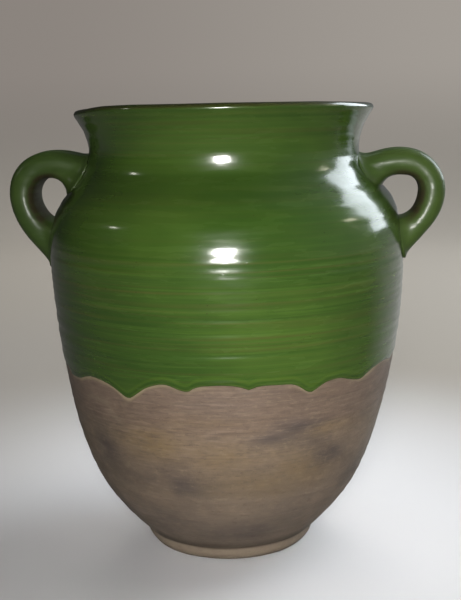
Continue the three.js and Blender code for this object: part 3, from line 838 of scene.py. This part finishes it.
def bare_clay(name):
    g = Graph(name)
    wide = g.noise(g.scaled(13, 13, 24, (0.9, 1.3, 0.1)), 1.0, 3.0, 0.55, 0.3)
    patch = g.noise(g.scaled(38, 38, 60, (2.9, 0.3, 0.8)), 1.0, 4.0, 0.6, 0.5)
    grain = g.noise(g.scaled(16, 16, 620, (0.2, 0.4, 0.0)), 1.0, 3.0, 0.6, 0.15)
    grain2 = g.noise(g.scaled(30, 30, 1500, (1.2, 0.1, 0.0)), 1.0, 2.0, 0.5)
    strokes = g.noise(g.scaled(95, 95, 640, (0.7, 1.9, 0.3)), 1.0, 3.0, 0.6, 0.2)
    flecks = g.noise(g.scaled(190, 190, 420, (1.1, 0.6, 0.9)), 1.0, 3.0, 0.6)
    blotch = g.noise(g.scaled(1, 1, 1.5, (0.4, 0.9, 1.3)), 125.0, 4.0, 0.62)
    grit = g.noise(g.scaled(1, 1, 1), 900.0, 3.0, 0.65)
    z = g.nt.nodes.new("ShaderNodeSeparateXYZ")
    g.link(g.pos, z.inputs[0])
    z = z.outputs["Z"]
    col = g.mix(g.span(wide, 0.3, 0.7), lin((99, 86, 72)), lin((115, 99, 84)))
    col = g.mix(g.math("MULTIPLY", g.span(patch, 0.42, 0.72), 0.40), col, lin((92, 79, 68)))
    # Clay body shows as a close mottle of tan, olive and pink.
    col = g.mix(g.math("MULTIPLY", g.span(blotch, 0.50, 0.72), 0.40), col, lin((132, 113, 93)))
    col = g.mix(g.math("MULTIPLY", g.span(blotch, 0.48, 0.26), 0.38), col, lin((87, 77, 65)))
    col = g.mix(g.math("MULTIPLY", g.span(z, 0.096, 0.112), 0.56), col, lin((95, 79, 71)))
    # Lighter towards the bottom: painted bounce light from the floor.
    col = g.mix(g.math("MULTIPLY", g.span(z, 0.078, 0.034), 0.28), col, lin((135, 121, 108)))
    col = g.mix(g.math("MULTIPLY", g.attr("ochre"), g.span(blotch, 0.25, 0.6, 0.35, 0.8)), col, lin((112, 93, 64)))
    ashes = g.math("MULTIPLY", g.attr("smudge"), g.span(patch, 0.25, 0.62, 0.55, 1.0))
    col = g.mix(g.math("MULTIPLY", ashes, 0.84), col, lin((55, 51, 54)))
    # Fine lines left by the rib and the brush, running round the pot.
    upper = g.span(z, 0.060, 0.108, 0.30, 1.0)
    col = g.mix(g.math("MULTIPLY", g.span(grain, 0.52, 0.72), g.math("MULTIPLY", upper, 0.32)), col, lin((68, 56, 48)))
    col = g.mix(g.math("MULTIPLY", g.span(strokes, 0.50, 0.68), g.math("MULTIPLY", upper, 0.34)), col, lin((72, 60, 53)))
    col = g.mix(g.math("MULTIPLY", g.span(strokes, 0.46, 0.28), g.math("MULTIPLY", upper, 0.34)), col, lin((138, 119, 104)))
    col = g.mix(g.math("MULTIPLY", g.span(flecks, 0.55, 0.74), 0.40), col, lin((70, 58, 48)))
    col = g.mix(g.math("MULTIPLY", g.span(flecks, 0.44, 0.26), 0.30), col, lin((136, 120, 100)))
    col = g.mix(g.math("MULTIPLY", g.span(grain2, 0.48, 0.28), g.math("MULTIPLY", upper, 0.24)), col, lin((125, 112, 95)))
    # Pale halo of slip under the glaze, and the faint second line.
    d = g.attr("edge")
    creep = g.noise(g.scaled(70, 70, 70, (0.6, 0.2, 0.9)), 1.0, 2.0, 0.5)
    dd = g.math("ADD", d, g.span(creep, 0.3, 0.7, -0.6, 0.6, "LINEAR"))
    halo = g.math("MULTIPLY", g.span(dd, -2.6, -0.3), g.span(g.noise(g.scaled(14, 14, 14, (0.35, 0.0, 0.2)), 1.0, 2.0, 0.5), 0.42, 0.62, 0.05, 0.70))
    col = g.mix(halo, col, lin((141, 129, 102)))
    col = g.mix(g.math("MULTIPLY", g.attr("slip"), 0.42), col, lin((123, 113, 95)))
    foot = g.attr("foot")
    col = g.mix(g.math("MULTIPLY", foot, g.span(blotch, 0.32, 0.62, 0.92, 0.25)), col, lin((125, 112, 95)))
    # Painted shade in the groove over the foot.
    groove = g.math("MULTIPLY", g.span(z, 0.0085, 0.0105), g.span(z, 0.012, 0.019, 1.0, 0.0))
    col = g.mix(g.math("MULTIPLY", groove, 0.55), col, lin((52, 44, 35)))
    dist, _ = g.cells(g.scaled(1, 1, 1, (0.5, 0.1, 0.7)), 340.0)
    speck = g.math("MULTIPLY", g.span(dist, 0.16, 0.05), g.span(grit, 0.42, 0.6))
    col = g.mix(g.math("MULTIPLY", speck, 0.5), col, lin((47, 38, 31)))
    n1 = g.bump(grain, 0.45, 0.0005)
    n1 = g.bump(grain2, 0.25, 0.00025, n1)
    n1 = g.bump(patch, 0.35, 0.0008, n1)
    n1 = g.bump(grit, 0.30, 0.00025, n1)
    rough = g.math("ADD", g.span(patch, 0.3, 0.7, 0.40, 0.54), g.math("MULTIPLY", foot, 0.2))
    g.set(Base_Color=col, Roughness=rough, Normal=n1)
    g.set(IOR=1.5, Specular_IOR_Level=0.5)
    return g.mat


def stoneware(name):
    g = Graph(name)
    cloud = g.noise(g.scaled(1, 1, 1, (0.2, 0.9, 0.4)), 26.0, 4.0, 0.55, 0.4)
    blush = g.noise(g.scaled(1, 1, 1, (1.7, 0.2, 0.6)), 12.0, 3.0, 0.5, 0.6)
    grit = g.noise(g.scaled(1, 1, 1), 1100.0, 3.0, 0.7)
    col = g.mix(g.span(cloud, 0.3, 0.7), lin((170, 152, 126)), lin((196, 180, 154)))
    col = g.mix(g.math("MULTIPLY", g.span(blush, 0.48, 0.72), 0.45), col, lin((184, 146, 112)))
    d1, c1 = g.cells(g.scaled(1, 1, 1, (0.3, 0.8, 0.2)), 300.0)
    d2, _ = g.cells(g.scaled(1, 1, 1, (0.9, 0.1, 0.5)), 620.0)
    s1 = g.math("MULTIPLY", g.span(d1, 0.22, 0.10), g.span(g.noise(g.scaled(1, 1, 1), 160.0, 2.0), 0.46, 0.58))
    s2 = g.span(d2, 0.20, 0.08)
    col = g.mix(g.math("MULTIPLY", s1, 0.75), col, lin((72, 54, 40)))
    col = g.mix(g.math("MULTIPLY", s2, 0.35), col, lin((120, 98, 76)))
    col = g.mix(g.math("MULTIPLY", g.attr("worn"), 0.45), col, lin((216, 204, 182)))
    n = g.bump(cloud, 0.3, 0.0009)
    n = g.bump(grit, 0.4, 0.0003, n)
    n = g.bump(s1, 0.25, -0.0003, n)
    rough = g.span(cloud, 0.3, 0.7, 0.62, 0.8)
    g.set(Base_Color=col, Roughness=rough, Normal=n)
    g.set(IOR=1.5, Specular_IOR_Level=0.4)
    return g.mat


# ------------------------------------------------------------------ the pieces
MAT_GLAZE = glaze("green_glaze")
MAT_CLAY = bare_clay("bare_clay")
MAT_INSIDE = glaze("green_glaze_inside", edge=False)
MAT_EAR = glaze("green_glaze_ears", edge=False, coat=0.28, coat_rough=0.25, base_rough=(0.38, 0.5), dull=0.22, lumps=0.95)
MAT_EAR_DRY = glaze("green_glaze_thin", edge=False, coat=0.05, coat_rough=0.3, base_rough=(0.5, 0.62), dull=0.1, lumps=0.6)
MAT_STONE = stoneware("speckled_stoneware")

pot = build_body()
for m in (MAT_GLAZE, MAT_CLAY, MAT_INSIDE):
    pot.data.materials.append(m)
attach(pot, "crock")
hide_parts("crock_body")

for which in ("left", "right"):
    ear = build_ear(which)
    ear.data.materials.append(MAT_EAR)
    ear.data.materials.append(MAT_EAR_DRY)
    # The glaze ran off the faces round the finger gap and left them nearly dry; their brown is partly painted shade.
    dry = np.empty(len(ear.data.vertices), np.float32)
    ear.data.attributes["thin_glaze_and_shade"].data.foreach_get("value", dry)
    for poly in ear.data.polygons:
        if float(dry[list(poly.vertices)].mean()) > 0.42:
            poly.material_index = 1
    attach(ear, "crock")
    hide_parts("handle_" + which)
    print("ear", which, len(ear.data.polygons))

for piece, node, body, side in (("half_stone_front", "weight_front", "stone_front", -1), ("half_stone_back", "weight_back", "stone_back", 1)):
    stone = build_stone(piece, node, side)
    stone.data.materials.append(MAT_STONE)
    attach(stone, body)
    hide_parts(node)
    print(piece, len(stone.data.polygons))


# ------------------------------------------------------------------ floor, backdrop, light, camera
def revolve(name, prof, n=96):
    """A smooth surface from (radius, height) pairs, in metres; a radius of 0 is the centre."""
    verts, rings = [], []
    for r, z in prof:
        if r == 0.0:
            rings.append([len(verts)])
            verts.append((0.0, 0.0, z))
        else:
            rings.append(list(range(len(verts), len(verts) + n)))
            verts += [(r * math.cos(2 * math.pi * a / n), r * math.sin(2 * math.pi * a / n), z) for a in range(n)]
    faces = []
    for lo, hi in zip(rings[:-1], rings[1:]):
        for a in range(n):
            a2 = (a + 1) % n
            faces.append((lo[0], hi[a], hi[a2]) if len(lo) == 1 else (lo[a], hi[a], hi[a2], lo[a2]))
    mesh = bpy.data.meshes.new(name)
    mesh.from_pydata(verts, [], faces)
    mesh.polygons.foreach_set("use_smooth", np.ones(len(mesh.polygons), bool))
    ob = bpy.data.objects.new(name, mesh)
    bpy.context.scene.collection.objects.link(ob)
    return ob


FLOOR_NEAR = (206, 206, 209)
FLOOR_FAR = (150, 145, 138)


def build_stage():
    """Round studio sweep: a flat floor, and a wall that rises from it all round."""
    low = -0.0004
    flat = revolve("floor", [(r, low) for r in (0.0, 0.1, 0.2, 0.3, 0.45, 0.7, 1.0)])
    prof = [(1.0, low), (1.3, low), (1.6, low)]
    for t in np.linspace(0, math.pi / 2, 14)[1:]:
        prof.append((1.6 + 0.7 * math.sin(t), 0.7 * (1 - math.cos(t)) + low))
    prof += [(2.3, 1.2), (2.3, 2.0), (2.3, 2.8)]
    wall = revolve("sweep", prof)
    g = Graph("pale_paper")
    sep = g.nt.nodes.new("ShaderNodeSeparateXYZ")
    g.link(g.pos, sep.inputs[0])
    x, y, z = sep.outputs
    rad = g.math("SQRT", g.math("ADD", g.math("MULTIPLY", x, x), g.math("MULTIPLY", y, y)))
    col = g.mix(g.span(rad, 0.14, 0.50), lin(FLOOR_NEAR), lin(FLOOR_FAR))
    # Painted shade: the floor darkens towards the left of the pot, as if lit from the right.
    aside = g.math("ADD", g.math("MULTIPLY", x, float(RIGHT[0])), g.math("MULTIPLY", y, float(RIGHT[1])))
    col = g.mix(g.math("MULTIPLY", g.span(aside, -0.03, -0.30, 0.0, 0.52), g.span(rad, 0.5, 0.98, 1.0, 0.0)), col, lin((148, 144, 140)))
    g.set(Base_Color=col)
    g.set(Roughness=0.9, Specular_IOR_Level=0.1)
    w = Graph("pale_wall")
    sep = w.nt.nodes.new("ShaderNodeSeparateXYZ")
    w.link(w.pos, sep.inputs[0])
    # Lit like the floor where it leaves it; higher up it glows with painted light, darker on the left and lighter to
    # the right.
    rise = w.span(sep.outputs[2], 0.0, 0.42)
    aside = w.math("ADD", w.math("MULTIPLY", sep.outputs[0], float(RIGHT[0])), w.math("MULTIPLY", sep.outputs[1], float(RIGHT[1])))
    painted_wall_glow = w.mix(w.span(aside, -0.7, 0.9), lin((138, 131, 125)), lin((162, 156, 149)))
    w.set(Base_Color=w.mix(rise, lin(FLOOR_FAR), (0.0, 0.0, 0.0, 1.0)), Emission_Color=w.mix(rise, (0.0, 0.0, 0.0, 1.0), painted_wall_glow))
    w.set(Roughness=0.9, Specular_IOR_Level=0.1, Emission_Strength=1.0)
    flat.data.materials.append(g.mat)
    wall.data.materials.append(w.mat)
    # The far wall is a backdrop only: the room's own light comes from the world.
    wall.visible_diffuse = wall.visible_glossy = wall.visible_shadow = False
    flat.visible_glossy = False


build_stage()

AIM = Vector((0.0, 0.0, 0.16))


def area_light(name, az, el, dist, size, watts, color, aim=AIM, shape="RECTANGLE", roll=0.0):
    """A soft panel seen from the pot at azimuth az (0 is the plain side, 90 the right) and height el, in degrees."""
    a, e = math.radians(az), math.radians(el)
    where = aim + dist * Vector((math.sin(a) * math.cos(e), -math.cos(a) * math.cos(e), math.sin(e)))
    data = bpy.data.lights.new(name, "AREA")
    data.shape = shape
    data.size = size[0]
    if shape in ("RECTANGLE", "ELLIPSE"):
        data.size_y = size[1]
    data.energy, data.color = watts, color
    ob = bpy.data.objects.new(name, data)
    rot = (aim - where).to_track_quat("-Z", "Y").to_matrix().to_4x4() @ Matrix.Rotation(math.radians(roll), 4, "Z")
    rot.translation = where
    ob.matrix_world = rot
    ob.visible_camera = False
    bpy.context.scene.collection.objects.link(ob)
    return ob


CAM_POS = Vector((0.0787894, -0.6915260, 0.300))
front = area_light("front_panel", VIEW_AZ - 1.0, 12.0, 0.70, (0.125, 0.125), 0.79, (1.0, 0.985, 0.95), aim=Vector((0, 0, 0.155)), shape="DISK")
# A grid on it narrows its beam, which falls off to the left of the pot and above it.
front.data.spread = math.radians(64)
turned = (Vector((0.060, 0.007, 0.120)) - front.matrix_world.translation).to_track_quat("-Z", "Y").to_matrix().to_4x4()
turned.translation = front.matrix_world.translation
front.matrix_world = turned
window = area_light("window_panel", 127.5, 25, 1.9, (1.06, 1.18), 26.0, (0.86, 0.94, 1.0))
window.data.cycles.max_bounces = 0      # keeps the neck from mirroring the shoulder's own highlight
area_light("lamp_left", -73, 26, 1.9, (0.10, 0.09), 0.9, (1.0, 0.96, 0.88))
area_light("lamp_right", 98, 25, 1.9, (0.26, 0.24), 1.4, (1.0, 0.93, 0.74))
area_light("back_left_panel", -165, 30, 2.0, (0.8, 0.8), 12.0, (1.0, 0.97, 0.92)).visible_glossy = False
area_light("back_panel", 172, 36, 2.1, (1.4, 1.2), 12.0, (1.0, 0.985, 0.96)).visible_glossy = False
area_light("high_panel", 105, 68, 1.5, (0.8, 0.8), 9.5, (1.0, 0.99, 0.97), aim=Vector((0, 0, 0.2))).visible_glossy = False

# The room beyond the lights: dim on the left, lighter towards the window, pale below.
world = bpy.data.worlds.new("soft_room")
bpy.context.scene.world = world
world.use_nodes = True
wn = world.node_tree
wn.nodes.clear()


def wnode(kind, **values):
    n = wn.nodes.new(kind)
    for k, v in values.items():
        setattr(n, k, v)
    return n


w_dir = wnode("ShaderNodeTexCoord").outputs["Generated"]
w_dot = wnode("ShaderNodeVectorMath", operation="DOT_PRODUCT")
wn.links.new(w_dir, w_dot.inputs[0])
w_dot.inputs[1].default_value = (math.sin(math.radians(115)), -math.cos(math.radians(115)), 0.0)
w_side = wnode("ShaderNodeMapRange", interpolation_type="SMOOTHSTEP")
wn.links.new(w_dot.outputs["Value"], w_side.inputs["Value"])
for k, v in (("From Min", 0.0), ("From Max", 1.0), ("To Min", 0.0), ("To Max", 1.0)):
    w_side.inputs[k].default_value = v
w_dot2 = wnode("ShaderNodeVectorMath", operation="DOT_PRODUCT")
wn.links.new(w_dir, w_dot2.inputs[0])
w_dot2.inputs[1].default_value = (math.sin(math.radians(148)), -math.cos(math.radians(148)), 0.0)
w_back = wnode("ShaderNodeMapRange", interpolation_type="SMOOTHSTEP")
wn.links.new(w_dot2.outputs["Value"], w_back.inputs["Value"])
for k, v in (("From Min", 0.72), ("From Max", 1.0), ("To Min", 0.0), ("To Max", 1.0)):
    w_back.inputs[k].default_value = v
w_sep = wnode("ShaderNodeSeparateXYZ")
wn.links.new(w_dir, w_sep.inputs[0])
w_low = wnode("ShaderNodeMapRange", interpolation_type="SMOOTHSTEP")
wn.links.new(w_sep.outputs["Z"], w_low.inputs["Value"])
for k, v in (("From Min", 0.02), ("From Max", -0.14), ("To Min", 0.0), ("To Max", 1.0)):
    w_low.inputs[k].default_value = v
w_mix = wnode("ShaderNodeMix", data_type="RGBA")
wn.links.new(w_side.outputs["Result"], w_mix.inputs[0])
w_mix.inputs[6].default_value = (0.026, 0.026, 0.024, 1.0)
w_mix.inputs[7].default_value = (0.24, 0.25, 0.255, 1.0)
w_under = wnode("ShaderNodeMix", data_type="RGBA")
wn.links.new(w_back.outputs["Result"], w_under.inputs[0])
w_under.inputs[6].default_value = (0.105, 0.103, 0.096, 1.0)
w_under.inputs[7].default_value = (0.50, 0.50, 0.48, 1.0)
w_mix2 = wnode("ShaderNodeMix", data_type="RGBA")
wn.links.new(w_low.outputs["Result"], w_mix2.inputs[0])
wn.links.new(w_mix.outputs[2], w_mix2.inputs[6])
wn.links.new(w_under.outputs[2], w_mix2.inputs[7])
w_bg = wnode("ShaderNodeBackground")
wn.links.new(w_mix2.outputs[2], w_bg.inputs["Color"])
w_bg.inputs["Strength"].default_value = 1.0
wn.links.new(w_bg.outputs[0], wnode("ShaderNodeOutputWorld").inputs[0])

cam_data = bpy.data.cameras.new("camera")
cam_data.sensor_width = 36.0
cam_data.lens = 1026.3 * 36.0 / 600.0
cam_data.shift_x = 4.0 / 600.0
cam_data.clip_start, cam_data.clip_end = 0.02, 20.0
cam_data.dof.use_dof = False
cam = bpy.data.objects.new("camera", cam_data)
bpy.context.scene.collection.objects.link(cam)
alpha, pitch, roll = math.radians(VIEW_AZ), math.radians(10.839), math.atan(0.02)
fwd = Vector((-math.sin(alpha) * math.cos(pitch), math.cos(alpha) * math.cos(pitch), -math.sin(pitch)))
rt = Vector((math.cos(alpha), math.sin(alpha), 0.0))
up = rt.cross(fwd)
rt2 = rt * math.cos(roll) - up * math.sin(roll)
up2 = up * math.cos(roll) + rt * math.sin(roll)
m = Matrix((rt2, up2, -fwd)).transposed().to_4x4()
m.translation = CAM_POS
cam.matrix_world = m
bpy.context.scene.camera = cam

scene = bpy.context.scene
scene.view_settings.view_transform = "Standard"
scene.view_settings.look = "None"
scene.view_settings.exposure = 0.0
scene.view_settings.gamma = 1.0
